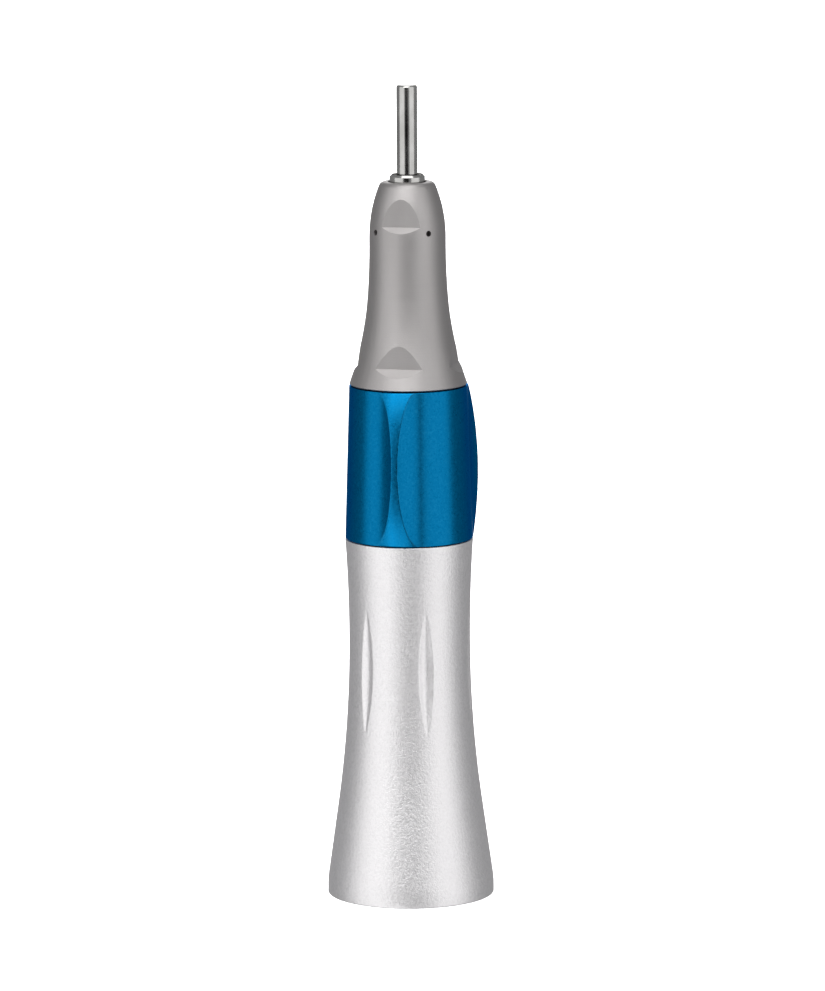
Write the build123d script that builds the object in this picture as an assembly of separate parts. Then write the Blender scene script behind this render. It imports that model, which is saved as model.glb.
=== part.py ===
from build123d import *
import math
import os

# Straight dental handpiece with a twist-ring chuck and a plain mandrel in it.
# Millimetres. +Z runs along the axis to the nose, z = 0 is the rear face of the
# grip, and the front of the object is -Y.

# Fits and gaps
press_fit = 0.005         # radial play of a seated piece
slide_fit = 0.05          # radial play of a piece that slides or turns
ball_play = 0.02          # play of a bearing ball in its track
joint_gap = 0.12          # open joint at each end of the twist ring
edge_break = 0.10         # small chamfer on visible ends
pin_inset = 0.05          # pins stop this far short of the surface they fill
gear_clearance = 0.1      # release gear to the spindle's flanges
over = 1.0                # cutting shapes run this far past the metal

# Mandrel, chuck and spindle
shank_radius = 1.175      # 2.35 mm handpiece shank
shank_proud = 10.05
shank_round = 0.28
chuck_bore_play = 0.015
chuck_wall = 0.36
chuck_play = 0.04
chuck_recess = 0.30       # chuck's end lies this far inside the spindle's mouth
chuck_head_rise = 0.15
chuck_head_length = 3.2
chuck_slit_width = 0.3
chuck_slit_length = 20.0
chuck_slit_count = 3
chuck_slit_turn = 30
chuck_travel = 0.6
stop_thickness = 1.9
stop_gap = 0.02           # shank's end to the stop inside the chuck
spindle_wall = 0.41
spindle_proud = 0.8
spindle_edge = 0.24       # chamfer round the spindle's mouth
spindle_bore_relief = 0.6
mouth_flare = 0.01
flange_rise = 0.45         # shoulders that the bearings' inner rings lean on
cross_pin_radius = 0.4
cross_pin_lift = 0.9      # above the chuck's rear end
cross_pin_inset = 0.2

# Ball bearings
front_section = 1.5       # radial height from bore to outside
front_width = 2.5
front_ball_radius = 0.58
front_ball_count = 9
rear_section = 2.0
rear_width = 3.0
rear_ball_radius = 0.70
rear_ball_count = 8
race_land = 0.3           # of the section, taken by each ring's wall
race_face_step = 0.05     # inner rings are this much narrower at each face
cage_reach = 1.45         # half the cage's width, in ball radii
spacer_length = 3.5
spacer_wall = 0.42

# Release gear
collar_wall = 1.35
collar_length = 2.6
collar_pin_setback = 1.1
collar_gap = 0.10         # release washer to the turning collar, chuck closed
washer_thickness = 0.5
sleeve_flange = 1.0
sleeve_wall = 1.0
sleeve_front_gap = 1.0    # left ahead of the sleeve when the chuck is open
cam_pin_radius = 0.6
cam_pin_setback = 3.0
twist_angle = 30.0
spring_wire_radius = 0.35
spring_turns = 7
spring_end_gap = 0.02
seat_setback = 0.9        # from the nose's base
seat_thickness = 0.6
clip_thickness = 0.4
clip_groove_depth = 0.2
clip_reach = 0.8
clip_mouth = 1.6

# Core tube, cam ring and twist ring
core_wall = 0.8
core_lip_drop = 0.7       # inner lip that the rear bearing seats on
core_seat_step = 0.3      # rear seat stands this much proud of the core
core_seat_length = 8.36
core_nose_overlap = 0.92  # the core's front end lies this far inside the nose
chuck_setback = 13.09     # chuck's rear end ahead of the core's
cam_wall = 0.70
cam_inset = 1.9
cam_end_play = 0.01
detent_setback = 1.4
detent_mouth = 2.4
ring_length = 17.38
ring_wall = 0.525
ring_taper = 0.54
ring_crest_rise = 1.22
ring_crest_half_width = 0.60
ring_crest_relief = 0.03
ring_crest_place = 0.46   # of the ring's length, from its rear end
ring_crest_rear_rise = 0.03
ring_crest_front_rise = 0.08
ring_flank_angle = 22.5
ring_rib_count = 3

# Nose cone
nose_wall = 0.795
nose_base_step = 0.05
nose_lip = 5.89           # solid front of the nose, ahead of the bearings
nose_chamber = 5.82       # from the nose's base to its bearing retainer
spigot_wall = 0.7         # threaded tail that screws into the core tube
spigot_length = 3.8
nose_mouth_gap = 0.2
nose_neck_length = 0.8
nose_neck_setback = 0.3
nose_flare_length = 5.9
nose_flare_rise = 0.218
nose_front_round = 15.36
nose_edge_round = 0.70
ledge_slope = 45          # of the step at the foot of each flat
front_flat_offset = 3.62
front_flat_ledge = 4.78   # from the front face
base_flat_offset = 5.25
base_flat_ledge = 2.35    # from the nose's base
base_flat_count = 4
pin_hole_radius = 0.33
pin_hole_depth = 1.6
pin_hole_setback = 5.5
pin_hole_count = 4
pin_hole_turn = 45

# Bearing retention
retainer_length = 2.0
retainer_clearance = 0.2
driver_slot_width = 0.8
retainer_slot_depth = 0.6
preload_space = 0.5
preload_thickness = 0.2
preload_bore_rise = 0.75
shield_thickness = 0.2
rear_nut_length = 1.4
rear_nut_lead = 0.3
rear_nut_clearance = 0.25
rear_nut_slot_depth = 0.5
shoulder_length = 1.0

# Rear grip body and coupling socket
socket_radius = 5.95
socket_depth = 31.0
socket_wall = 0.91
socket_web = 1.5
waist_setback = 1.5
flare_length = 18.95
flare_rise = 1.33
shoulder_height = 2.4
shoulder_rise = 0.10
rear_edge_round = 0.15
front_lip = 0.03          # front rim proud of the twist ring's rear end
insert_wall = 1.05
insert_length = 10.4
insert_recess = 0.6
insert_chamfer = 0.4
latch_groove_depth = 0.4
latch_groove_width = 1.4
latch_groove_place = 4.6
key_slot_width = 2.0
key_slot_depth = 2.5
key_slot_reach = 0.7      # into the insert's wall
flute_count = 6
flute_length = 14.3
flute_depth = 0.28
flute_width = 1.7
flute_setback = 3.2       # flute centre behind the waist
flute_turn = 27           # first flute from the front

# Drive dog
dog_wall = 1.0
dog_length = 2.8
dog_lead = 0.3
dog_clearance = 0.55
dog_slot_width = 1.6
dog_slot_depth = 1.5
dog_pin_radius = 0.3
dog_pin_setback = 0.7
tail_step = 0.5

# Seals
seal_radius = 0.25
seal_play = 0.01
ring_seal_inset = 1.0
body_seal_inset = 1.2

# Radii, from the axis outwards
chuck_bore = shank_radius + chuck_bore_play
chuck_radius = chuck_bore + chuck_wall
spindle_bore = chuck_radius + chuck_play
spindle_radius = spindle_bore + spindle_wall
front_bearing_radius = spindle_radius + front_section
rear_bearing_radius = spindle_radius + rear_section
collar_radius = spindle_radius + slide_fit + collar_wall
sleeve_bore = collar_radius + 3 * slide_fit
sleeve_radius = sleeve_bore + sleeve_wall
core_bore = sleeve_radius + slide_fit
core_radius = core_bore + core_wall
core_seat_radius = core_radius + core_seat_step
cam_bore = core_radius + slide_fit
cam_radius = cam_bore + cam_wall
ring_bore = cam_radius + press_fit
ring_top_radius = ring_bore + ring_wall
ring_bottom_radius = ring_top_radius + ring_taper
ring_crest_radius = (ring_top_radius + ring_bottom_radius) / 2 + ring_crest_rise
nose_bore = front_bearing_radius + press_fit
spigot_radius = core_bore - press_fit
neck_radius = nose_bore + nose_wall
nose_base_radius = ring_top_radius - nose_base_step
nose_mouth_radius = spindle_radius + nose_mouth_gap
body_bore = core_seat_radius + press_fit
waist_radius = max(socket_radius, body_bore) + socket_wall
body_front_radius = ring_bottom_radius + front_lip
insert_radius = socket_radius + insert_wall
flange_radius = spindle_radius + flange_rise
dog_radius = spindle_radius - tail_step + dog_wall
web_bore = dog_radius + dog_clearance

# Places along the axis, from the rear face to the tip
core_start = socket_depth + socket_web
body_length = core_start + core_seat_length
ring_start = body_length + joint_gap
ring_end = ring_start + ring_length
nose_start = ring_end + joint_gap
core_end = nose_start + core_nose_overlap
spigot_start = core_end - spigot_length
retainer_start = nose_start + nose_chamber
retainer_end = retainer_start + retainer_length
middle_bearing_start = retainer_end + preload_space
spacer_start = middle_bearing_start + front_width
front_bearing_start = spacer_start + spacer_length
shield_start = front_bearing_start + front_width
nose_shoulder = shield_start + shield_thickness
nose_face = nose_shoulder + nose_lip
spindle_end = nose_face + spindle_proud
tip = spindle_end + shank_proud

rear_nut_start = core_start + rear_nut_lead
rear_bearing_start = rear_nut_start + rear_nut_length
rear_bearing_end = rear_bearing_start + rear_width
dog_start = socket_depth + dog_lead
dog_end = dog_start + dog_length
dog_pin_z = dog_end - dog_pin_setback
chuck_start = core_start + chuck_setback
chuck_end = spindle_end - chuck_recess
shank_start = chuck_start + stop_thickness
cross_pin_z = chuck_start + cross_pin_lift
collar_start = cross_pin_z - collar_pin_setback
collar_end = collar_start + collar_length
washer_start = collar_start - collar_gap - washer_thickness
sleeve_start = washer_start - sleeve_flange
sleeve_end = spigot_start - chuck_travel - sleeve_front_gap
cam_pin_z = sleeve_end - cam_pin_setback
seat_start = nose_start - seat_setback
seat_end = seat_start + seat_thickness
waist_z = socket_depth - waist_setback
detent_z = ring_end - cam_inset - detent_setback
nose_seal_z = (nose_start + core_end) / 2
body_seal_z = body_length - body_seal_inset

base = (Align.CENTER, Align.CENTER, Align.MIN)


def rod(radius, low, high):
    return Pos(0, 0, low) * Cylinder(radius, high - low, align=base)


def ring(inner, outer, low, high):
    return rod(outer, low, high) - rod(inner, low, high)


def turned(*edges):
    # a closed outline of (radius, z) edges, spun about the axis
    return revolve(Plane.XZ * make_face(edges), Axis.Z)


def outline(*points):
    return turned(Polyline(*points, close=True))


def cross_rod(radius, inner, outer, z, angle):
    # a round bar lying radially at height z
    bar = Pos(inner, 0, z) * Rot(0, 90, 0) * Cylinder(radius, outer - inner, align=base)
    return Rot(0, 0, angle) * bar


def seal(radius, z):
    return Pos(0, 0, z) * Torus(radius, seal_radius)


def seal_groove(surface_radius, z):
    half = seal_radius + seal_play
    return ring(surface_radius - 2 * half, surface_radius + over, z - half, z + half)


def seal_in(surface_radius):
    # ring radius of a seal that lies in such a groove, just under the surface
    return surface_radius - seal_radius - seal_play


# Mandrel and chuck

def make_mandrel():
    body = rod(shank_radius, shank_start, tip)
    return fillet(body.edges().filter_by(GeomType.CIRCLE), shank_round)


def make_chuck():
    head_start = chuck_end - chuck_head_length
    stop = shank_start - stop_gap
    body = outline(
        (0, chuck_start),
        (chuck_radius, chuck_start),
        (chuck_radius, head_start),
        (chuck_radius + chuck_head_rise, chuck_end),
        (chuck_bore, chuck_end),
        (chuck_bore, stop),
        (0, stop),
    )
    slit = Pos(0, 0, chuck_end - chuck_slit_length) * Box(
        2 * spindle_radius,
        chuck_slit_width,
        chuck_slit_length + over,
        align=(Align.MIN, Align.CENTER, Align.MIN),
    )
    for i in range(chuck_slit_count):
        body -= Rot(0, 0, chuck_slit_turn + 360 * i / chuck_slit_count) * slit
    reach = chuck_radius + over
    return body - cross_rod(cross_pin_radius + press_fit, -reach, reach, cross_pin_z, 90)


def make_cross_pin():
    half = collar_radius - cross_pin_inset
    return cross_rod(cross_pin_radius, -half, half, cross_pin_z, 90)


def make_thrust_collar():
    body = ring(spindle_radius + slide_fit, collar_radius, collar_start, collar_end)
    reach = collar_radius + over
    return body - cross_rod(cross_pin_radius + press_fit, -reach, reach, cross_pin_z, 90)


# Spindle group

def make_spindle():
    head_start = chuck_end - chuck_head_length
    mouth = spindle_bore + chuck_head_rise
    tail_radius = spindle_radius - tail_step
    rear_flange = rear_bearing_end + shoulder_length
    bore_start = chuck_start - spindle_bore_relief
    front_stop = middle_bearing_start + race_face_step
    body = outline(
        (0, dog_start + dog_slot_depth),
        (tail_radius, dog_start + dog_slot_depth),
        (tail_radius, dog_end),
        (spindle_radius, dog_end),
        (spindle_radius, rear_bearing_end - race_face_step),
        (flange_radius, rear_bearing_end - race_face_step),
        (flange_radius, rear_flange),
        (spindle_radius, rear_flange),
        (spindle_radius, front_stop - shoulder_length),
        (flange_radius, front_stop - shoulder_length),
        (flange_radius, front_stop),
        (spindle_radius, front_stop),
        (spindle_radius, spindle_end - spindle_edge),
        (spindle_radius - spindle_edge, spindle_end),
        (mouth + mouth_flare, spindle_end),
        (mouth, chuck_end),
        (spindle_bore, head_start),
        (spindle_bore, bore_start),
        (0, bore_start),
    )
    slot_low = cross_pin_z - cross_pin_radius - slide_fit
    slot_high = cross_pin_z + chuck_travel + cross_pin_radius + slide_fit
    slot = Pos(0, 0, slot_low) * Box(
        2 * cross_pin_radius + 2 * slide_fit,
        3 * spindle_radius,
        slot_high - slot_low,
        align=base,
    )
    reach = spindle_radius + over
    clip_groove = ring(spindle_radius - clip_groove_depth, reach, seat_end, seat_end + clip_thickness)
    dog_hole = cross_rod(dog_pin_radius + press_fit, -reach, reach, dog_pin_z, 0)
    return body - slot - clip_groove - dog_hole


def make_spring_seat():
    return ring(spindle_radius + press_fit, collar_radius, seat_start, seat_end)


def make_spindle_clip():
    inner = spindle_radius - clip_groove_depth + press_fit
    clip = ring(inner, spindle_radius + clip_reach, seat_end, seat_end + clip_thickness)
    mouth = Pos(0, spindle_radius, seat_end) * Box(clip_mouth, 2 * spindle_radius, over, align=base)
    return clip - mouth


def make_chuck_spring():
    low = collar_end + spring_wire_radius + spring_end_gap
    high = seat_start - spring_wire_radius - spring_end_gap
    coil_radius = (spindle_radius + collar_radius) / 2
    pitch = (high - low) / spring_turns
    path = Pos(0, 0, low) * Helix(pitch, high - low, coil_radius)
    section = Plane(path @ 0, z_dir=path % 0) * Circle(spring_wire_radius)
    return sweep(section, path, is_frenet=True)


def make_inner_spacer():
    return ring(
        spindle_radius + press_fit,
        spindle_radius + spacer_wall,
        spacer_start - race_face_step,
        front_bearing_start + race_face_step,
    )


def make_drive_dog():
    inner = spindle_radius - tail_step + press_fit
    body = ring(inner, dog_radius, dog_start, dog_end)
    reach = dog_radius + over
    slot = Pos(0, 0, dog_start) * Box(2 * reach, dog_slot_width, 2 * dog_slot_depth)
    return body - slot - cross_rod(dog_pin_radius + press_fit, -reach, reach, dog_pin_z, 0)


def make_dog_pin():
    half = dog_radius - pin_inset
    return cross_rod(dog_pin_radius, -half, half, dog_pin_z, 0)


# Ball bearings: each gives an outer ring, an inner ring, a cage and its balls

def make_bearing(start, section, width, ball_radius, ball_count):
    inner = spindle_radius
    outer = inner + section
    pitch_radius = inner + section / 2
    middle = start + width / 2
    land = race_land * section
    track = Pos(0, 0, middle) * Torus(pitch_radius, ball_radius + ball_play)
    outer_ring = ring(outer - land, outer, start, start + width) - track
    inner_ring = ring(
        inner + press_fit,
        inner + land,
        start + race_face_step,
        start + width - race_face_step,
    ) - track
    balls = []
    for i in range(ball_count):
        balls.append(Rot(0, 0, 360 * i / ball_count) * Pos(pitch_radius, 0, middle) * Sphere(ball_radius))
    half_cage = ball_radius * cage_reach
    gap = section / 2 - land - 2 * slide_fit
    cage = ring(pitch_radius - gap, pitch_radius + gap, middle - half_cage, middle + half_cage)
    for i in range(ball_count):
        angle = 360 * i / ball_count
        cage -= cross_rod(ball_radius + ball_play, inner, outer, middle, angle)
    return {
        "outer_ring": outer_ring,
        "inner_ring": inner_ring,
        "cage": cage,
        "balls": Compound(children=balls),
    }


# Release gear

def make_release_sleeve():
    flange_bore = flange_radius + gear_clearance
    body = outline(
        (flange_bore, sleeve_start),
        (sleeve_radius, sleeve_start),
        (sleeve_radius, sleeve_end),
        (sleeve_bore, sleeve_end),
        (sleeve_bore, washer_start),
        (flange_bore, washer_start),
    )
    for angle in (0, 180):
        body -= cross_rod(cam_pin_radius + press_fit, 0, sleeve_radius + over, cam_pin_z, angle)
    return body


def make_thrust_washer():
    bore = flange_radius + gear_clearance
    return ring(bore, sleeve_bore - press_fit, washer_start, washer_start + washer_thickness)


def make_cam_pins():
    pins = []
    for angle in (0, 180):
        pins.append(
            cross_rod(cam_pin_radius, sleeve_bore + pin_inset, cam_radius - pin_inset, cam_pin_z, angle)
        )
    return Compound(children=pins)


# Core tube and seals

def make_core_tube():
    lip = rear_bearing_end + shoulder_length
    lip_bore = rear_bearing_radius - core_lip_drop
    bearing_bore = rear_bearing_radius + press_fit
    body = outline(
        (bearing_bore, core_start),
        (core_seat_radius, core_start),
        (core_seat_radius, body_length),
        (core_radius, body_length),
        (core_radius, core_end),
        (core_bore, core_end),
        (core_bore, lip),
        (lip_bore, lip),
        (lip_bore, rear_bearing_end),
        (bearing_bore, rear_bearing_end),
    )
    slot_low = cam_pin_z - cam_pin_radius - slide_fit
    slot_high = cam_pin_z + chuck_travel + cam_pin_radius + slide_fit
    slot = Pos(0, 0, slot_low) * Box(
        2 * core_radius + 2 * over,
        2 * cam_pin_radius + 2 * slide_fit,
        slot_high - slot_low,
        align=base,
    )
    body -= slot
    body -= seal_groove(core_radius, nose_seal_z)
    body -= seal_groove(core_seat_radius, body_seal_z)
    body -= seal_groove(core_radius, ring_start + ring_seal_inset)
    body -= seal_groove(core_radius, ring_end - ring_seal_inset)
    return body - seal_groove(core_radius, detent_z)


def make_detent_clip():
    clip = seal(seal_in(core_radius), detent_z)
    mouth = Pos(0, core_radius, detent_z) * Box(detent_mouth, 2 * core_radius, 2 * over)
    return clip - mouth


# Twist ring: a helical cam inside a ribbed grip

def make_cam_ring():
    low = ring_start + cam_inset
    high = ring_end - cam_inset
    body = ring(cam_bore, cam_radius, low, high)
    half_slot = cam_pin_radius + slide_fit
    middle_radius = (cam_bore + cam_radius) / 2
    pitch = chuck_travel * 360 / twist_angle
    path = Pos(0, 0, cam_pin_z) * Helix(pitch, chuck_travel, middle_radius, lefthand=True)
    start = Plane(path @ 0, x_dir=(1, 0, 0), z_dir=path % 0)
    slot = sweep(start * Rectangle(2.4 * cam_wall, 2 * half_slot), path, is_frenet=True)
    inner = cam_bore - over
    outer = cam_radius + over
    first_end = cross_rod(half_slot, inner, outer, cam_pin_z, 0)
    last_end = cross_rod(half_slot, inner, outer, cam_pin_z + chuck_travel, -twist_angle)
    for angle in (0, 180):
        # the slot and its two round ends are cut one after another
        for cut in (slot, first_end, last_end):
            body -= Rot(0, 0, angle) * cut
    return body


def rib_section(scale):
    # one closed outline: a circle with concave-flanked ribs, the first at -Y
    round_radius = ring_bottom_radius * scale
    flank_end = (ring_crest_radius + ring_crest_relief) * scale
    crest = (ring_bottom_radius + ring_crest_rise + over) * scale
    half = ring_crest_half_width * scale
    flank = math.radians(ring_flank_angle)
    edges = []
    for i in range(ring_rib_count):
        turn = Rot(0, 0, -90 + 360 * i / ring_rib_count)
        foot = Vector(round_radius * math.cos(flank), round_radius * math.sin(flank))
        along = Vector(math.sin(flank), -math.cos(flank))
        rise = TangentArc((foot.X, foot.Y), (flank_end, half), tangent=(along.X, along.Y))
        fall = mirror(rise, Plane.XZ)
        up = Line((flank_end, half), (crest, half))
        down = mirror(up, Plane.XZ)
        top = Line((crest, half), (crest, -half))
        gap = math.pi / ring_rib_count
        middle = (round_radius * math.cos(gap), round_radius * math.sin(gap))
        other = 2 * gap - flank
        end = (round_radius * math.cos(other), round_radius * math.sin(other))
        land = ThreePointArc((foot.X, foot.Y), middle, end)
        edges += [turn * edge for edge in (rise, fall, up, down, top, land)]
    return make_face(edges)


def make_grip_ring():
    top_scale = ring_top_radius / ring_bottom_radius
    crest_z = ring_start + ring_crest_place * ring_length
    rear_radius = ring_bottom_radius + ring_crest_rear_rise
    front_radius = ring_top_radius + ring_crest_front_rise
    barrel = turned(
        ThreePointArc((rear_radius, ring_start), (ring_crest_radius, crest_z), (front_radius, ring_end)),
        Polyline((front_radius, ring_end), (0, ring_end), (0, ring_start), (rear_radius, ring_start)),
    )
    low = Pos(0, 0, ring_start) * rib_section(1)
    high = Pos(0, 0, ring_end) * rib_section(top_scale)
    body = loft([low, high], ruled=True) & barrel
    cam_low = ring_start + cam_inset - cam_end_play
    cam_high = ring_end - cam_inset + cam_end_play
    return body - rod(ring_bore, cam_low, cam_high) - rod(cam_bore, ring_start - over, ring_end + over)


# Nose cone

def flat_cutter(offset, foot):
    # takes the metal ahead of a flat at -Y, down to a sloping step at the flat's foot
    depth = nose_base_radius
    drop = depth * math.tan(math.radians(90 - ledge_slope))
    side = Polyline(
        (-offset, foot),
        (-offset, foot + 2 * depth),
        (-offset - depth, foot + 2 * depth),
        (-offset - depth, foot - drop),
        close=True,
    )
    return extrude(Plane.YZ * make_face(side), depth, both=True)


def make_nose_cone():
    neck_high = nose_shoulder - nose_neck_setback
    neck_low = neck_high - nose_neck_length
    flare = (neck_radius + nose_flare_rise, neck_low - nose_flare_length)
    upper = TangentArc((neck_radius, neck_low), flare, tangent=(0, -1))
    lower = TangentArc(flare, (nose_base_radius, nose_start + edge_break), tangent=upper % 1)
    drop = nose_face - neck_high
    face_radius = neck_radius - nose_front_round + math.sqrt(nose_front_round**2 - drop**2)
    front = TangentArc((neck_radius, neck_high), (face_radius, nose_face), tangent=(0, 1))
    base_bore = core_radius + press_fit
    spigot_bore = spigot_radius - spigot_wall
    inside = Polyline(
        (nose_base_radius, nose_start + edge_break),
        (nose_base_radius - edge_break, nose_start),
        (base_bore, nose_start),
        (base_bore, core_end),
        (spigot_radius, core_end),
        (spigot_radius, spigot_start),
        (spigot_bore, spigot_start),
        (spigot_bore, core_end),
        (nose_bore, core_end + spigot_bore - nose_bore),
        (nose_bore, nose_shoulder),
        (nose_mouth_radius, nose_shoulder),
        (nose_mouth_radius, nose_face),
        (face_radius, nose_face),
    )
    body = turned(upper, lower, Line((neck_radius, neck_low), (neck_radius, neck_high)), front, inside)
    face_edges = body.edges().filter_by(GeomType.CIRCLE).group_by(Axis.Z)[-1]
    body = fillet(face_edges.sort_by(SortBy.RADIUS)[-1], nose_edge_round)
    base_flat = flat_cutter(base_flat_offset, nose_start + base_flat_ledge)
    for i in range(base_flat_count):
        body -= Rot(0, 0, 360 * i / base_flat_count) * base_flat
    front_flat = flat_cutter(front_flat_offset, nose_face - front_flat_ledge)
    for angle in (0, 180):
        body -= Rot(0, 0, angle) * front_flat
    hole_z = nose_face - pin_hole_setback
    for i in range(pin_hole_count):
        angle = pin_hole_turn + 360 * i / pin_hole_count
        body -= cross_rod(pin_hole_radius, neck_radius - pin_hole_depth, neck_radius + over, hole_z, angle)
    return body


def make_outer_spacer():
    return ring(front_bearing_radius - spacer_wall, front_bearing_radius, spacer_start, front_bearing_start)


def make_preload_washer():
    low = retainer_end
    high = middle_bearing_start
    inner = spindle_radius + preload_bore_rise
    outer = front_bearing_radius - slide_fit
    return outline(
        (inner, low),
        (outer, high - preload_thickness),
        (outer, high),
        (inner, low + preload_thickness),
    )


def make_front_retainer():
    body = ring(flange_radius + retainer_clearance, front_bearing_radius, retainer_start, retainer_end)
    slot = Box(2 * nose_bore + 2 * over, driver_slot_width, 2 * retainer_slot_depth)
    return body - Pos(0, 0, retainer_start) * slot


def make_rear_nut():
    body = ring(flange_radius + rear_nut_clearance, rear_bearing_radius, rear_nut_start, rear_bearing_start)
    slot = Box(2 * rear_bearing_radius + 2 * over, driver_slot_width, 2 * rear_nut_slot_depth)
    return body - Pos(0, 0, rear_nut_start) * slot


def make_dust_shield():
    return ring(spindle_radius + 3 * slide_fit, front_bearing_radius, shield_start, nose_shoulder)


# Rear grip body and coupling insert

def make_flute():
    # a lens-shaped scoop, cut by the rim of a large disc standing along the axis
    rim_radius = (flute_width / 2) ** 2 / (2 * flute_depth - (flute_width / 2) ** 2 / waist_radius)
    body_curve = (flare_length**2 + flare_rise**2) / (2 * flare_rise)
    disc_radius = 1 / (8 * flute_depth / flute_length**2 + 1 / body_curve)
    lean = math.asin(flute_setback / body_curve)
    skin_radius = waist_radius + body_curve * (1 - math.cos(lean))
    reach = disc_radius - flute_depth
    centre = Pos(
        0,
        -(skin_radius + reach * math.cos(lean)),
        waist_z - flute_setback + reach * math.sin(lean),
    )
    return centre * Rot(0, 90, 0) * Torus(disc_radius - rim_radius, rim_radius)


def make_rear_body():
    flare_end = (waist_radius + flare_rise, waist_z - flare_length)
    flare = TangentArc((waist_radius, waist_z), flare_end, tangent=(0, -1))
    slope = flare % 1
    run = (flare_end[1] - shoulder_height) / -slope.Y
    taper_end = (flare_end[0] + slope.X * run, shoulder_height)
    taper = Line(flare_end, taper_end)
    rear_radius = taper_end[0] + shoulder_rise
    shoulder = TangentArc(taper_end, (rear_radius, rear_edge_round), tangent=slope)
    corner_end = (rear_radius - rear_edge_round, 0)
    corner = RadiusArc((rear_radius, rear_edge_round), corner_end, rear_edge_round)
    front_edge = (body_front_radius, body_length - edge_break)
    front = TangentArc((waist_radius, waist_z), front_edge, tangent=(0, 1))
    insert_end = insert_recess + insert_length
    inside = Polyline(
        corner_end,
        (insert_radius + press_fit + insert_recess, 0),
        (insert_radius + press_fit, insert_recess),
        (insert_radius + press_fit, insert_end),
        (socket_radius, insert_end),
        (socket_radius, socket_depth),
        (web_bore, socket_depth),
        (web_bore, core_start),
        (body_bore, core_start),
        (body_bore, body_length),
        (body_front_radius - edge_break, body_length),
        front_edge,
    )
    body = turned(flare, taper, shoulder, corner, front, inside)
    flute = make_flute()
    for i in range(flute_count):
        body -= Rot(0, 0, flute_turn + i * 360 / flute_count) * flute
    return body


def make_coupling_insert():
    low = insert_recess
    high = insert_recess + insert_length
    groove = low + latch_groove_place
    body = outline(
        (socket_radius + insert_chamfer, low),
        (insert_radius, low),
        (insert_radius, high),
        (socket_radius, high),
        (socket_radius, groove + latch_groove_width),
        (socket_radius + latch_groove_depth, groove + latch_groove_width - latch_groove_depth),
        (socket_radius + latch_groove_depth, groove + latch_groove_depth),
        (socket_radius, groove),
        (socket_radius, low + insert_chamfer),
    )
    key = Pos(0, socket_radius, low) * Box(key_slot_width, 2 * key_slot_reach, 2 * key_slot_depth)
    return body - key


pieces = {
    "rear_body": make_rear_body(),
    "coupling_insert": make_coupling_insert(),
    "core_tube": make_core_tube(),
    "nose_cone": make_nose_cone(),
    "grip_ring": make_grip_ring(),
    "cam_ring": make_cam_ring(),
    "release_sleeve": make_release_sleeve(),
    "cam_pins": make_cam_pins(),
    "thrust_washer": make_thrust_washer(),
    "spindle": make_spindle(),
    "spring_seat": make_spring_seat(),
    "spindle_clip": make_spindle_clip(),
    "chuck_spring": make_chuck_spring(),
    "inner_spacer": make_inner_spacer(),
    "drive_dog": make_drive_dog(),
    "dog_pin": make_dog_pin(),
    "chuck": make_chuck(),
    "cross_pin": make_cross_pin(),
    "thrust_collar": make_thrust_collar(),
    "mandrel": make_mandrel(),
    "outer_spacer": make_outer_spacer(),
    "preload_washer": make_preload_washer(),
    "front_retainer": make_front_retainer(),
    "rear_nut": make_rear_nut(),
    "dust_shield": make_dust_shield(),
    "detent_clip": make_detent_clip(),
    "nose_seal": seal(seal_in(core_radius), nose_seal_z),
    "body_seal": seal(seal_in(core_seat_radius), body_seal_z),
    "ring_seal_front": seal(seal_in(core_radius), ring_end - ring_seal_inset),
    "ring_seal_rear": seal(seal_in(core_radius), ring_start + ring_seal_inset),
}

front_size = (front_section, front_width, front_ball_radius, front_ball_count)
rear_size = (rear_section, rear_width, rear_ball_radius, rear_ball_count)
bearings = {
    "front_bearing": (front_bearing_start, *front_size),
    "middle_bearing": (middle_bearing_start, *front_size),
    "rear_bearing": (rear_bearing_start, *rear_size),
}
for bearing, values in bearings.items():
    for part, shape in make_bearing(*values).items():
        pieces[f"{bearing}_{part}"] = shape

os.makedirs("parts", exist_ok=True)
for node, shape in pieces.items():
    export_step(shape, f"parts/{node}.step")

print(f"length {tip:.2f}, body {body_length:.2f}, nose face {nose_face:.2f}, shank {tip - shank_start:.2f}")
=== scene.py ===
import bmesh
import bpy
import math
from mathutils import Matrix, Vector


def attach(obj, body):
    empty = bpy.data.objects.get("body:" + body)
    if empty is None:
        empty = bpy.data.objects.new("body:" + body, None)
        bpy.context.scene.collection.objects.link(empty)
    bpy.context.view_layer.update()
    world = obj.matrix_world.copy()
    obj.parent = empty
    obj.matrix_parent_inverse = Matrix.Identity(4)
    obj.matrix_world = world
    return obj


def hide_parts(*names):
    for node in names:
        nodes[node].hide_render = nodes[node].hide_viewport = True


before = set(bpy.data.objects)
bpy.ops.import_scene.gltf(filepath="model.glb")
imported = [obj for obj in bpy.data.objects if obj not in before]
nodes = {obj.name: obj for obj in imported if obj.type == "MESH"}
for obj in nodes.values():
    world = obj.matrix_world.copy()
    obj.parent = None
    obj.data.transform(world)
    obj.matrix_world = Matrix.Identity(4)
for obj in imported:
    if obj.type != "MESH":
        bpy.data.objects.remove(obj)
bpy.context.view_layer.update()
mm = 0.001
weld = 0.002 * mm        # corners nearer than this are merged
print("frame loaded")

# Camera

cameraFacts = {
    "distance": 740 * mm,
    "azimuth": 11.5,
    "elevation": 9.5,
    "roll": -0.31,
    "aimHeight": 45.68 * mm,
    "aimSide": 0.40 * mm,
    "lens": 158.7,
    "sensorHeight": 24.0,
    "clipStart": 0.01,
}


def lookFrom(azimuth, elevation):
    # unit vector from the object towards a viewer at those angles in degrees
    a, e = math.radians(azimuth), math.radians(elevation)
    return Vector((math.sin(a) * math.cos(e), -math.cos(a) * math.cos(e), math.sin(e)))


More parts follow.
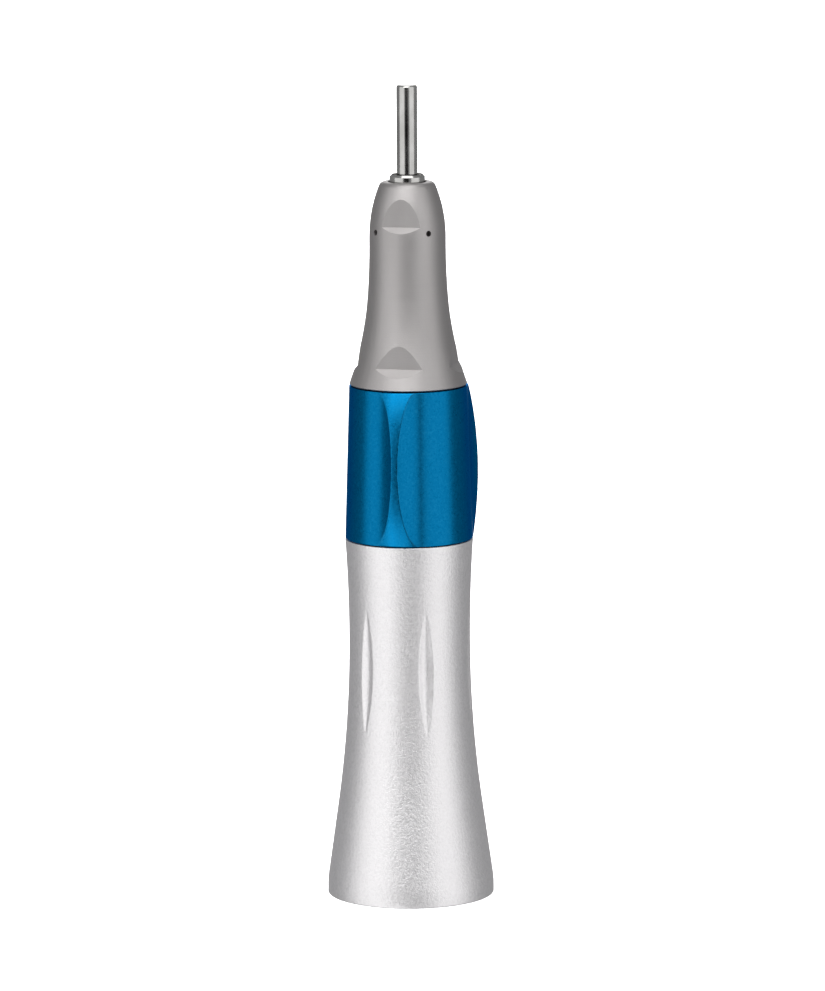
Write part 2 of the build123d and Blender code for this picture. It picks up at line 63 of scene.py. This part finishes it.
def addCamera(facts):
    out = lookFrom(facts["azimuth"], facts["elevation"])
    right = lookFrom(facts["azimuth"] + 90, 0)
    aim = Vector((0, 0, facts["aimHeight"])) + right * facts["aimSide"]
    turn = (-out).to_track_quat("-Z", "Y").to_matrix().to_4x4()
    roll = Matrix.Rotation(math.radians(facts["roll"]), 4, "Z")
    camera = bpy.data.objects.new("camera", bpy.data.cameras.new("camera"))
    bpy.context.collection.objects.link(camera)
    camera.matrix_world = Matrix.Translation(aim + out * facts["distance"]) @ turn @ roll
    camera.data.sensor_fit = "VERTICAL"
    camera.data.sensor_height = facts["sensorHeight"]
    camera.data.lens = facts["lens"]
    camera.data.clip_start = facts["clipStart"]
    bpy.context.scene.camera = camera


addCamera(cameraFacts)
print("camera placed")

# Studio: pale cove and soft boxes. The cove is left out of the metal's reflections,
# so that the boxes alone shape the highlights.

studio = {
    "aimHeight": 45 * mm,
    "boxDistance": 0.80,
    "boxes": {
        "left": {"azimuth": -58, "elevation": 0, "width": 0.92, "height": 1.5, "glow": 0.84},
        "right": {"azimuth": 55, "elevation": 0, "width": 0.86, "height": 1.5, "glow": 0.84},
        "top": {"azimuth": -8, "elevation": 36, "width": 0.80, "height": 0.50, "glow": 2.3},
        "overhead": {"azimuth": 0, "elevation": 78, "width": 0.60, "height": 0.60, "glow": 2.0},
        "low": {"azimuth": -20, "elevation": -38, "width": 0.50, "height": 0.36, "glow": 1.5},
        "back": {"azimuth": 180, "elevation": 8, "width": 0.34, "height": 1.3, "glow": 1.3},
    },
    "fill": (0.30, 0.302, 0.308),
    "flag": {"azimuth": -5, "elevation": -6, "width": 0.46, "height": 0.50},
    "coveRadius": 3.0,
    "coveCorner": 0.8,
    "coveHeight": 2.6,
    "coveSteps": 96,
    "cornerSteps": 12,
    "coveGlow": 0.80,
}


def newFinish(name, **sockets):
    # a material with its uniform values set on the shader's own sockets
    finish = bpy.data.materials.new(name)
    finish.use_nodes = True
    shader = finish.node_tree.nodes["Principled BSDF"]
    for socket, value in sockets.items():
        target = shader.inputs[socket.replace("_", " ")]
        target.default_value = (*value, 1) if isinstance(value, tuple) else value
    return finish


def newObject(name, mesh, finish):
    data = bpy.data.meshes.new(name)
    mesh.to_mesh(data)
    mesh.free()
    data.materials.append(finish)
    piece = bpy.data.objects.new(name, data)
    bpy.context.collection.objects.link(piece)
    return piece


def standAround(azimuth, elevation):
    # place and turn of something that faces the object from an angle beside the camera
    out = lookFrom(cameraFacts["azimuth"] + azimuth, elevation)
    centre = Vector((0, 0, studio["aimHeight"]))
    turn = out.to_track_quat("Z", "Y").to_matrix().to_4x4()
    return Matrix.Translation(centre + out * studio["boxDistance"]) @ turn


def addSoftBox(name, facts):
    lamp = bpy.data.lights.new(name, "AREA")
    lamp.shape = "RECTANGLE"
    lamp.size = facts["width"]
    lamp.size_y = facts["height"]
    lamp.energy = facts["glow"] * math.pi * facts["width"] * facts["height"]
    box = bpy.data.objects.new(name, lamp)
    bpy.context.collection.objects.link(box)
    box.matrix_world = standAround(facts["azimuth"], facts["elevation"])
    box.visible_camera = False


def addCove(facts):
    mesh = bmesh.new()
    start = mesh.verts.new((0, 0, 0))
    edge = mesh.verts.new((facts["coveRadius"] - facts["coveCorner"], 0, 0))
    mesh.edges.new((start, edge))
    corner = bmesh.ops.spin(
        mesh, geom=[edge], cent=(edge.co.x, 0, facts["coveCorner"]), axis=(0, -1, 0),
        angle=math.radians(90), steps=facts["cornerSteps"],
    )
    top = [v for v in corner["geom_last"] if isinstance(v, bmesh.types.BMVert)][0]
    wall = bmesh.ops.extrude_vert_indiv(mesh, verts=[top])["verts"]
    bmesh.ops.translate(mesh, verts=wall, vec=(0, 0, facts["coveHeight"]))
    bmesh.ops.spin(
        mesh, geom=mesh.verts[:] + mesh.edges[:], cent=(0, 0, 0), axis=(0, 0, 1),
        angle=math.tau, steps=facts["coveSteps"], use_merge=True,
    )
    bmesh.ops.remove_doubles(mesh, verts=mesh.verts, dist=weld)
    bmesh.ops.recalc_face_normals(mesh, faces=mesh.faces)
    bmesh.ops.reverse_faces(mesh, faces=mesh.faces)
    paint = newFinish(
        "paleCove",
        Base_Color=(0.90, 0.90, 0.90),
        Roughness=0.9,
        Specular_IOR_Level=0.0,
        Emission_Color=(1.0, 1.0, 1.0),
        Emission_Strength=facts["coveGlow"],
    )
    cove = newObject("cove", mesh, paint)
    cove.data.shade_smooth()
    cove.visible_glossy = False
    cove.visible_shadow = False


def addFlag(facts):
    # a black card beside the camera, which gives round parts their dark middle stripe
    mesh = bmesh.new()
    bmesh.ops.create_grid(mesh, x_segments=1, y_segments=1, size=0.5)
    bmesh.ops.scale(mesh, verts=mesh.verts, vec=(facts["width"], facts["height"], 1))
    place = standAround(facts["azimuth"], facts["elevation"])
    bmesh.ops.transform(mesh, matrix=place, verts=mesh.verts)
    card = newFinish(
        "blackCard", Base_Color=(0.01, 0.01, 0.01), Roughness=1.0, Specular_IOR_Level=0.0
    )
    flag = newObject("flag", mesh, card)
    flag.visible_camera = False
    flag.visible_diffuse = False
    flag.visible_shadow = False


for boxName, boxFacts in studio["boxes"].items():
    addSoftBox(boxName, boxFacts)
addFlag(studio["flag"])
addCove(studio)
world = bpy.data.worlds.new("studio")
world.use_nodes = True
world.node_tree.nodes["Background"].inputs["Color"].default_value = (*studio["fill"], 1)
bpy.context.scene.world = world
bpy.context.scene.view_settings.view_transform = "Standard"
print("studio lit")

# Finishes


def addNode(finish, kind, **values):
    node = finish.node_tree.nodes.new(kind)
    for name, value in values.items():
        setattr(node, name, value)
    return node


def join(finish, source, target):
    finish.node_tree.links.new(source, target)


def stretched(finish, across, along):
    # object coordinates with their own scale across the axis and along it
    coords = addNode(finish, "ShaderNodeTexCoord")
    mapping = addNode(finish, "ShaderNodeMapping")
    mapping.inputs["Scale"].default_value = (across, across, along)
    join(finish, coords.outputs["Object"], mapping.inputs["Vector"])
    return mapping.outputs["Vector"]


def grain(finish, across, along, detail=2.0, roughness=0.5):
    # noise whose grains are 1/across wide and 1/along high, in metres
    node = addNode(finish, "ShaderNodeTexNoise")
    node.inputs["Scale"].default_value = 1.0
    node.inputs["Detail"].default_value = detail
    node.inputs["Roughness"].default_value = roughness
    join(finish, stretched(finish, across, along), node.inputs["Vector"])
    return node.outputs["Fac"]


def spread(finish, value, low, high, fromLow=0.3, fromHigh=0.7):
    node = addNode(finish, "ShaderNodeMapRange")
    node.inputs["From Min"].default_value = fromLow
    node.inputs["From Max"].default_value = fromHigh
    node.inputs["To Min"].default_value = low
    node.inputs["To Max"].default_value = high
    join(finish, value, node.inputs["Value"])
    return node.outputs["Result"]


def tint(finish, value, stops):
    node = addNode(finish, "ShaderNodeValToRGB")
    ramp = node.color_ramp
    while len(ramp.elements) < len(stops):
        ramp.elements.new(0.5)
    for element, (place, colour) in zip(ramp.elements, stops):
        element.position = place
        element.color = (*colour, 1)
    join(finish, value, node.inputs["Fac"])
    return node.outputs["Color"]


def blendOf(finish, first, second, share):
    # share of the second value, the rest from the first
    node = addNode(finish, "ShaderNodeMix", data_type="FLOAT")
    node.inputs["Factor"].default_value = share
    join(finish, first, node.inputs["A"])
    join(finish, second, node.inputs["B"])
    return node.outputs["Result"]


def relief(finish, height, depth, strength=1.0, below=None):
    node = addNode(finish, "ShaderNodeBump")
    node.inputs["Strength"].default_value = strength
    node.inputs["Distance"].default_value = depth
    join(finish, height, node.inputs["Height"])
    if below is not None:
        join(finish, below, node.inputs["Normal"])
    return node.outputs["Normal"]


def wire(finish, **outputs):
    shader = finish.node_tree.nodes["Principled BSDF"]
    for socket, output in outputs.items():
        join(finish, output, shader.inputs[socket.replace("_", " ")])


def makeBlastedSilver():
    # bead-blasted aluminium shell: fine pits over a coarser grit, with a soft sheen
    finish = newFinish("blastedSilver", Metallic=1.0)
    pits = grain(finish, 6500, 6500, detail=2, roughness=0.6)
    grit = grain(finish, 3200, 3200, detail=2)
    mixed = blendOf(finish, pits, grit, 0.55)
    colour = tint(finish, mixed, [
        (0.32, (0.77, 0.757, 0.762)),
        (0.52, (0.84, 0.826, 0.832)),
        (0.70, (0.88, 0.866, 0.872)),
    ])
    wire(
        finish,
        Base_Color=colour,
        Roughness=spread(finish, grit, 0.40, 0.47),
        Normal=relief(finish, mixed, 0.066 * mm, 1.0),
    )
    return finish


def makeSatinSteel():
    # nose: fine-turned and lightly blasted steel, darker and smoother than the grip
    finish = newFinish("satinSteel", Metallic=1.0)
    turned = grain(finish, 60, 9000, detail=3)
    pits = grain(finish, 6500, 6500, detail=2)
    clouds = grain(finish, 400, 90, detail=2)
    colour = tint(finish, clouds, [(0.3, (0.385, 0.370, 0.366)), (0.7, (0.42, 0.405, 0.401))])
    lines = relief(finish, turned, 0.010 * mm, 0.6)
    wire(
        finish,
        Base_Color=colour,
        Roughness=spread(finish, blendOf(finish, turned, pits, 0.5), 0.45, 0.53),
        Normal=relief(finish, pits, 0.014 * mm, 0.6, lines),
    )
    return finish


def rubbedAndLitEdges(finish, colour, scuffs, wornAndLitColour):
    # the lighter colour where the mesh's wear value and the scuffs meet: partly rubbed edges,
    # partly a painted highlight along the rib crests
    wearAndHighlight = addNode(finish, "ShaderNodeAttribute", attribute_name="wearAndHighlight")
    share = addNode(finish, "ShaderNodeMath", operation="MULTIPLY")
    join(finish, wearAndHighlight.outputs["Fac"], share.inputs[0])
    join(finish, scuffs, share.inputs[1])
    mix = addNode(finish, "ShaderNodeMix", data_type="RGBA")
    join(finish, share.outputs["Value"], mix.inputs["Factor"])
    join(finish, colour, mix.inputs["A"])
    mix.inputs["B"].default_value = (*wornAndLitColour, 1)
    return mix.outputs["Result"]


def makeAnodisedBlue():
    # dyed anodising over fine-blasted aluminium: deep blue with a crystalline sparkle
    finish = newFinish("anodisedBlue", Metallic=1.0, Specular_Tint=(0.10, 0.42, 0.80))
    sparkle = grain(finish, 6000, 6000, detail=2, roughness=0.6)
    grit = grain(finish, 3000, 3000, detail=2)
    mixed = blendOf(finish, sparkle, grit, 0.5)
    colour = tint(finish, mixed, [
        (0.30, (0.001, 0.135, 0.31)),
        (0.50, (0.002, 0.160, 0.36)),
        (0.72, (0.006, 0.195, 0.41)),
    ])
    scuffs = spread(finish, grain(finish, 1200, 700, detail=3), 0.0, 0.22)
    wire(
        finish,
        # lighter blue along the rib edges: rubbed anodising, and partly a painted highlight
        Base_Color=rubbedAndLitEdges(finish, colour, scuffs, (0.06, 0.36, 0.62)),
        Roughness=spread(finish, grit, 0.27, 0.33),
        Normal=relief(finish, mixed, 0.004 * mm, 1.0),
    )
    return finish


def makePolishedSteel():
    # ground and polished shank and spindle: mirror-like with faint turning rings
    finish = newFinish("polishedSteel", Metallic=1.0)
    rings = grain(finish, 30, 14000, detail=3)
    smears = grain(finish, 700, 350, detail=3)
    colour = tint(finish, smears, [(0.3, (0.44, 0.435, 0.42)), (0.7, (0.56, 0.555, 0.54))])
    wire(
        finish,
        Base_Color=colour,
        Roughness=spread(finish, smears, 0.12, 0.22),
        Normal=relief(finish, rings, 0.004 * mm, 0.5),
    )
    return finish


def makeTurned(name, dark, light, low, high, linesPerMetre):
    # inner metal parts straight from the lathe
    finish = newFinish(name, Metallic=1.0)
    rings = grain(finish, 60, linesPerMetre, detail=3)
    stains = grain(finish, 500, 400, detail=3)
    wire(
        finish,
        Base_Color=tint(finish, stains, [(0.3, dark), (0.7, light)]),
        Roughness=spread(finish, rings, low, high),
        Normal=relief(finish, rings, 0.010 * mm, 0.6),
    )
    return finish


def makeMoulded(name, dark, light, low, high):
    # moulded resin and rubber: even skin with a fine texture
    finish = newFinish(name, Metallic=0.0)
    skin = grain(finish, 4000, 4000, detail=3)
    marbling = grain(finish, 600, 600, detail=3)
    wire(
        finish,
        Base_Color=tint(finish, marbling, [(0.3, dark), (0.7, light)]),
        Roughness=spread(finish, skin, low, high),
        Normal=relief(finish, skin, 0.010 * mm, 0.5),
    )
    return finish


# darkest and lightest colour, lowest and highest roughness, and lines to the metre
turnedFinishes = {
    "ground_steel": ("groundSteel", (0.50, 0.50, 0.51), (0.62, 0.62, 0.63), 0.26, 0.38, 7000),
    "bearing_steel": ("bearingSteel", (0.64, 0.64, 0.66), (0.72, 0.72, 0.74), 0.10, 0.20, 12000),
    "spring_steel": ("springSteel", (0.36, 0.37, 0.39), (0.46, 0.47, 0.49), 0.24, 0.36, 4000),
    "bronze": ("bronze", (0.52, 0.34, 0.16), (0.68, 0.48, 0.25), 0.28, 0.40, 7000),
    "dark_steel": ("darkSteel", (0.13, 0.13, 0.135), (0.22, 0.22, 0.23), 0.30, 0.42, 7000),
}
mouldedFinishes = {
    "cage_resin": ("cageResin", (0.50, 0.34, 0.16), (0.64, 0.46, 0.25), 0.40, 0.55),
    "seal_rubber": ("sealRubber", (0.02, 0.02, 0.021), (0.035, 0.035, 0.036), 0.45, 0.62),
}
finishes = {
    "blasted_silver": makeBlastedSilver(),
    "satin_steel": makeSatinSteel(),
    "anodised_blue": makeAnodisedBlue(),
    "polished_steel": makePolishedSteel(),
}
for slotName, turnedFacts in turnedFinishes.items():
    finishes[slotName] = makeTurned(*turnedFacts)
for slotName, mouldedFacts in mouldedFinishes.items():
    finishes[slotName] = makeMoulded(*mouldedFacts)

# finishes of the nodes that finishName can't tell by a word in their names
finishOf = {
    "rear_body": "blasted_silver",
    "nose_cone": "satin_steel",
    "grip_ring": "anodised_blue",
    "mandrel": "polished_steel",
    "spindle": "polished_steel",
    "cam_ring": "bronze",
    "thrust_washer": "bronze",
    "rear_nut": "dark_steel",
    "front_retainer": "dark_steel",
    "chuck_spring": "spring_steel",
    "spindle_clip": "spring_steel",
    "detent_clip": "spring_steel",
    "preload_washer": "spring_steel",
}


def finishName(node):
    if node in finishOf:
        return finishOf[node]
    if "seal" in node:
        return "seal_rubber"
    if node.endswith("_cage"):
        return "cage_resin"
    if "_bearing_" in node:
        return "bearing_steel"
    return "ground_steel"


for nodeName, node in nodes.items():
    for slot in node.material_slots:
        slot.material = finishes[finishName(nodeName)]
print("finishes on", len(nodes), "nodes")

# Visible shells, turned and cut again as clean meshes inside their CAD solids.
# Their dictionaries are in millimetres and degrees.

sharpAngle = 32          # edges steeper than this stay sharp


def edgesAt(mesh, height, above):
    # edges whose two ends lie at one height and further out than a radius
    found = []
    for edge in mesh.edges:
        level = all(abs(v.co.z - height * mm) < weld / 2 for v in edge.verts)
        if level and all(v.co.xy.length > above * mm for v in edge.verts):
            found.append(edge)
    return found


def roundEdges(mesh, edges, size, segments):
    bmesh.ops.bevel(
        mesh, geom=edges, offset=size * mm, offset_type="OFFSET", segments=segments,
        profile=0.5, affect="EDGES", material=-1,
    )


def aroundAngle(vertex):
    # angle about the axis from the front, where the first rib stands
    return math.atan2(vertex.co.x, -vertex.co.y)


def offNearest(angle, count):
    # angle to the nearest of several places spaced evenly from zero
    pitch = math.tau / count
    return abs((angle + pitch / 2) % pitch - pitch / 2)


def addPiece(mesh, name, facts):
    # closes a mesh off as a smooth-shaded piece that rides on a body
    bmesh.ops.remove_doubles(mesh, verts=mesh.verts, dist=weld)
    bmesh.ops.recalc_face_normals(mesh, faces=mesh.faces)
    piece = newObject(name, mesh, finishes[facts["slot"]])
    piece.data.shade_smooth()
    piece.data.set_sharp_from_angle(angle=math.radians(sharpAngle))
    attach(piece, facts["body"])
    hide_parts(facts["node"])


rearShell = {
    "node": "rear_body",
    "body": "housing",
    "slot": "blasted_silver",
    "waist": (6.86, 29.5),       # smallest radius and its height
    "frontEdge": (7.25, 40.86),
    "skin": 0.012,               # how far the mesh lies inside the solid
    "frontBreak": 0.10,
    "frontSegments": 3,
    "flareLength": 18.95,
    "flareRise": 1.33,
    "taperFoot": 2.4,
    "rearEdge": (9.44, 0.0),
    "rearRound": 0.15,
    "rearSegments": 4,
    "inside": [                  # radius and height along the bores, from the rear
        (7.605, 0.0), (7.005, 0.6), (7.005, 11.0), (5.95, 11.0), (5.95, 31.0),
        (3.05, 31.0), (3.05, 32.5), (5.705, 32.5), (5.705, 40.86),
    ],
    "columns": 480,
    "rows": 112,
    "fluteCount": 6,
    "fluteTurn": 27,
    "fluteHeight": 26.3,
    "fluteLength": 14.3,
    "fluteWidth": 1.7,
    "fluteDepth": 0.28,
    "fluteFade": 1.15,           # above 1 the flutes' rims run out softly
}


def shellRadius(z, facts):
    # outer radius of the grip at a height: a bell in front of the waist, and behind it an
    # arc, a cone and a foot that bends in
    waist, waistZ = facts["waist"]
    frontRadius, frontZ = facts["frontEdge"]
    flare = facts["flareLength"]
    curve = (flare**2 + facts["flareRise"]**2) / (2 * facts["flareRise"])
    slope = flare / math.sqrt(curve**2 - flare**2)
    waist, frontRadius = waist - facts["skin"], frontRadius - facts["skin"]
    if z >= waistZ:
        return waist + (frontRadius - waist) * ((z - waistZ) / (frontZ - waistZ)) ** 2
    down = waistZ - z
    if down <= flare:
        return waist + curve - math.sqrt(curve**2 - down**2)
    cone = waist + facts["flareRise"] + slope * (down - flare)
    foot = facts["taperFoot"]
    coneEnd = waist + facts["flareRise"] + slope * (waistZ - flare)
    bend = (coneEnd - facts["rearEdge"][0] + 2 * facts["skin"]) / foot**2
    return cone - bend * max(0, foot - z) ** 2


def cutFlute(vertex, facts):
    # sinks a vertex of the outer skin into the nearest of the lens-shaped scoops
    along = (vertex.co.z / mm - facts["fluteHeight"]) / (facts["fluteLength"] / 2)
    share = 1 - along**2
    if share <= 0:
        return
    radius = vertex.co.xy.length / mm
    turn = aroundAngle(vertex) - math.radians(facts["fluteTurn"])
    aside = radius * offNearest(turn, facts["fluteCount"])
    across = aside / (facts["fluteWidth"] / 2 * share)
    if across < 1:
        sink = facts["fluteDepth"] * share * (1 - across**2) ** facts["fluteFade"]
        vertex.co.xy *= 1 - sink / radius


def makeRearShell(facts):
    mesh = bmesh.new()
    rear, front = facts["rearEdge"], facts["frontEdge"]
    corners = [rear, *facts["inside"], front]
    verts = [mesh.verts.new((r * mm, 0, z * mm)) for r, z in corners]
    for first, second in zip(verts, verts[1:]):
        mesh.edges.new((first, second))
    outside = mesh.edges.new((verts[-1], verts[0]))
    rows = bmesh.ops.subdivide_edges(mesh, edges=[outside], cuts=facts["rows"])
    for item in rows["geom_inner"]:
        if isinstance(item, bmesh.types.BMVert):
            item.co.x = shellRadius(item.co.z / mm, facts) * mm
    bmesh.ops.spin(
        mesh, geom=mesh.verts[:] + mesh.edges[:], cent=(0, 0, 0), axis=(0, 0, 1),
        angle=math.tau, steps=facts["columns"], use_merge=True,
    )
    bmesh.ops.remove_doubles(mesh, verts=mesh.verts, dist=weld)
    for vertex in mesh.verts:
        skin = shellRadius(vertex.co.z / mm, facts) - facts["skin"]
        if vertex.co.xy.length > skin * mm:
            cutFlute(vertex, facts)
    rearRim = edgesAt(mesh, rear[1], rear[0] - facts["skin"])
    roundEdges(mesh, rearRim, facts["rearRound"], facts["rearSegments"])
    frontRim = edgesAt(mesh, front[1], front[0] - facts["skin"])
    roundEdges(mesh, frontRim, facts["frontBreak"], facts["frontSegments"])
    addPiece(mesh, "rear_shell", facts)


makeRearShell(rearShell)
print("rear shell turned")

twistGrip = {
    "node": "grip_ring",
    "body": "twist_ring",
    "slot": "anodised_blue",
    "low": 40.98,                # heights of its two ends
    "high": 58.36,
    "landRadius": 7.22,          # round part between the ribs, at the rear end
    "landRadiusFront": 6.68,
    "crestRadius": 8.17,
    "crestPlace": 0.46,          # of the length, from the rear end
    "rearRise": 0.03,            # of the crest over the land, at each end
    "frontRise": 0.08,
    "crestHalfWidth": 0.60,
    "crestRelief": 0.03,
    "flankAngle": 22.5,          # from a rib's middle to where its flank meets the land
    "ribCount": 3,
    "edgeBlend": 0.03,           # how far the rib edges are rounded over
    "wearAndHighlightReach": 0.05,           # how far from the rib edges the blue is rubbed and lightened as a painted highlight
    "wearAndHighlightSpan": 0.95,            # of the flank's angle, so that its foot stays blue
    "endBreak": 0.07,
    "endSegments": 2,
    "lipBore": 5.45,
    "camBore": 6.155,
    "lipLength": 1.89,
    "columns": 720,
    "rows": 96,
}


def circleThrough(first, second, third):
    # centre and radius of the circle through three points
    (x1, y1), (x2, y2), (x3, y3) = first, second, third
    area = 2 * (x1 * (y2 - y3) + x2 * (y3 - y1) + x3 * (y1 - y2))
    q1, q2, q3 = x1 * x1 + y1 * y1, x2 * x2 + y2 * y2, x3 * x3 + y3 * y3
    cx = (q1 * (y2 - y3) + q2 * (y3 - y1) + q3 * (y1 - y2)) / area
    cy = (q1 * (x3 - x2) + q2 * (x1 - x3) + q3 * (x2 - x1)) / area
    return cx, cy, math.hypot(x1 - cx, y1 - cy)


def flankRadius(turn, facts):
    # radius at an angle from a rib's middle: a hollow arc that leaves the land smoothly
    # and climbs past the crest's edge
    land, f = facts["landRadius"], math.radians(facts["flankAngle"])
    if turn >= f:
        return land
    endX = facts["crestRadius"] + facts["crestRelief"]
    endY = facts["crestHalfWidth"]
    dx, dy = endX - land * math.cos(f), endY - land * math.sin(f)
    hollow = (dx * dx + dy * dy) / (2 * (dx * math.cos(f) + dy * math.sin(f)))
    reach = (land + hollow) * math.cos(turn - f)
    return reach - math.sqrt(max(0, reach**2 - (land + hollow) ** 2 + hollow**2))


def gripRadius(turn, z, facts, barrel):
    # outer radius, and wear that also stands for a painted highlight on the rib edges: the flank
    # or the barrel over the crests, whichever is lower
    barrelZ, barrelRadius, curve = barrel
    share = (z - facts["low"]) / (facts["high"] - facts["low"])
    scale = 1 + (facts["landRadiusFront"] / facts["landRadius"] - 1) * share
    over = barrelRadius + math.sqrt(curve**2 - (z - barrelZ) ** 2)
    flank = flankRadius(turn, facts) * scale
    gap = abs(flank - over)
    soft = max(0, facts["edgeBlend"] - gap) ** 2 / (4 * facts["edgeBlend"])
    # the wear value lightens the blue near the rib edges: rubbed anodising, and partly a painted
    # highlight
    onRib = turn < math.radians(facts["flankAngle"]) * facts["wearAndHighlightSpan"]
    wearAndHighlight = max(0, 1 - gap / facts["wearAndHighlightReach"]) if onRib else 0.0
    return min(flank, over) - soft, wearAndHighlight


def growLip(mesh, rim, rings, wearAndHighlight):
    # carries an end's rim inwards through a few rings and gives back the last one
    for radius, height in rings:
        grown = bmesh.ops.extrude_edge_only(mesh, edges=rim)["geom"]
        rim = [item for item in grown if isinstance(item, bmesh.types.BMEdge)]
        for vertex in {v for edge in rim for v in edge.verts}:
            vertex.co.xy *= radius * mm / vertex.co.xy.length
            vertex.co.z = height * mm
            vertex[wearAndHighlight] = 0.0
    return rim


def makeTwistGrip(facts):
    low, high = facts["low"], facts["high"]
    mesh = bmesh.new()
    # per-vertex wear, which also carries a painted highlight along the rib edges
    wearAndHighlight = mesh.verts.layers.float.new("wearAndHighlight")
    bmesh.ops.create_cone(
        mesh, cap_ends=False, segments=facts["columns"], radius1=facts["landRadius"] * mm,
        radius2=facts["landRadius"] * mm, depth=(high - low) * mm,
        matrix=Matrix.Translation((0, 0, (low + high) / 2 * mm)),
    )
    upright = [e for e in mesh.edges if abs(e.verts[0].co.z - e.verts[1].co.z) > mm]
    bmesh.ops.subdivide_edges(mesh, edges=upright, cuts=facts["rows"])
    crestZ = low + facts["crestPlace"] * (high - low)
    barrel = circleThrough(
        (low, facts["landRadius"] + facts["rearRise"]),
        (crestZ, facts["crestRadius"]),
        (high, facts["landRadiusFront"] + facts["frontRise"]),
    )
    for vertex in mesh.verts:
        turn = offNearest(aroundAngle(vertex), facts["ribCount"])
        radius, rubbedAndLit = gripRadius(turn, vertex.co.z / mm, facts, barrel)
        vertex.co.xy *= radius * mm / vertex.co.xy.length
        vertex[wearAndHighlight] = rubbedAndLit
    lipBore, camBore = facts["lipBore"], facts["camBore"]
    inner = []
    for end, lip in ((low, low + facts["lipLength"]), (high, high - facts["lipLength"])):
        rings = ((lipBore, end), (lipBore, lip), (camBore, lip))
        inner += growLip(mesh, edgesAt(mesh, end, camBore), rings, wearAndHighlight)
    bmesh.ops.bridge_loops(mesh, edges=inner)
    for end in (low, high):
        outerRim = edgesAt(mesh, end, camBore)
        roundEdges(mesh, outerRim, facts["endBreak"], facts["endSegments"])
    addPiece(mesh, "twist_grip", facts)


makeTwistGrip(twistGrip)
print("twist grip formed")
